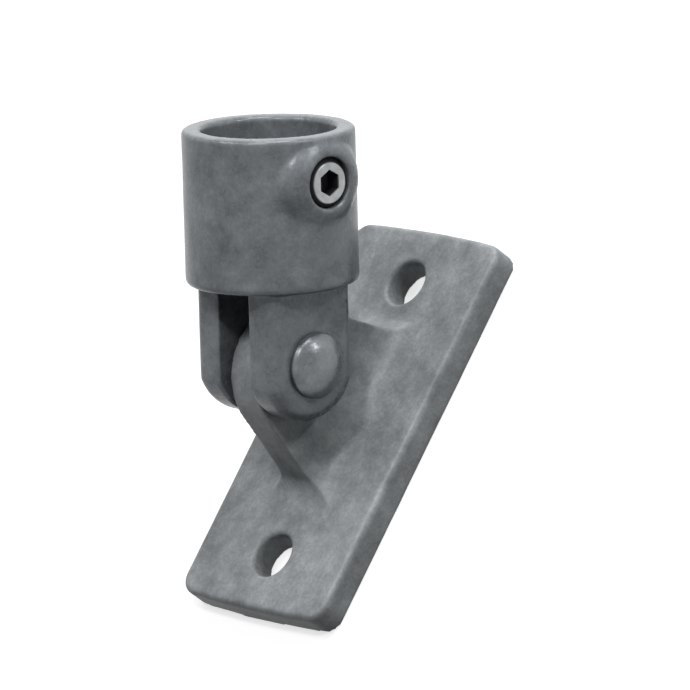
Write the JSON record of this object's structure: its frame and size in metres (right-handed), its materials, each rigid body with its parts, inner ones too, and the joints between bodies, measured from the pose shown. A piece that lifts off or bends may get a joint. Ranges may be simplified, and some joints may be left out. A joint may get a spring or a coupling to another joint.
{
  "type": "swivel tube wall bracket",
  "caption": "Cast wall plate with an upright tongue and a forked tube socket that swings on a rivet; a hexagon-socket screw in the collar clamps the tube.",
  "frame": {"origin": "centre of the plate's back face, midway between the fixing holes", "axes": "-Z out of the back face into the wall, +X along the plate towards the end the socket leans over at rest, Y along the rivet with the clamp screw on the -Y side"},
  "size_m": [0.1201, 0.056, 0.0902],
  "materials": {
    "galvanised_plate": "hot-dip galvanised casting, mottled matt grey",
    "galvanised_fork": "hot-dip galvanised casting, mottled matt grey",
    "galvanised_rivet": "galvanised rivet head, satin grey",
    "zinc_screw": "zinc plated, satin"
  },
  "bodies": {
    "base": {"base_plate": "galvanised_plate"},
    "fork": {"socket_fork": "galvanised_fork", "pivot_rivet": "galvanised_rivet"},
    "clamp": {"set_screw": "zinc_screw"}
  },
  "joints": [
    {"name": "swivel", "type": "hinge", "parent": "base", "child": "fork", "pos_m": [0.0026, 0, 0.0364], "axis": [0, 1, 0], "range_deg": [-136, 30]},
    {"name": "clamp_travel", "type": "slide", "parent": "fork", "child": "clamp", "axis": [0, 1, 0], "range_m": [-0.004, 0.002]}
  ]
}
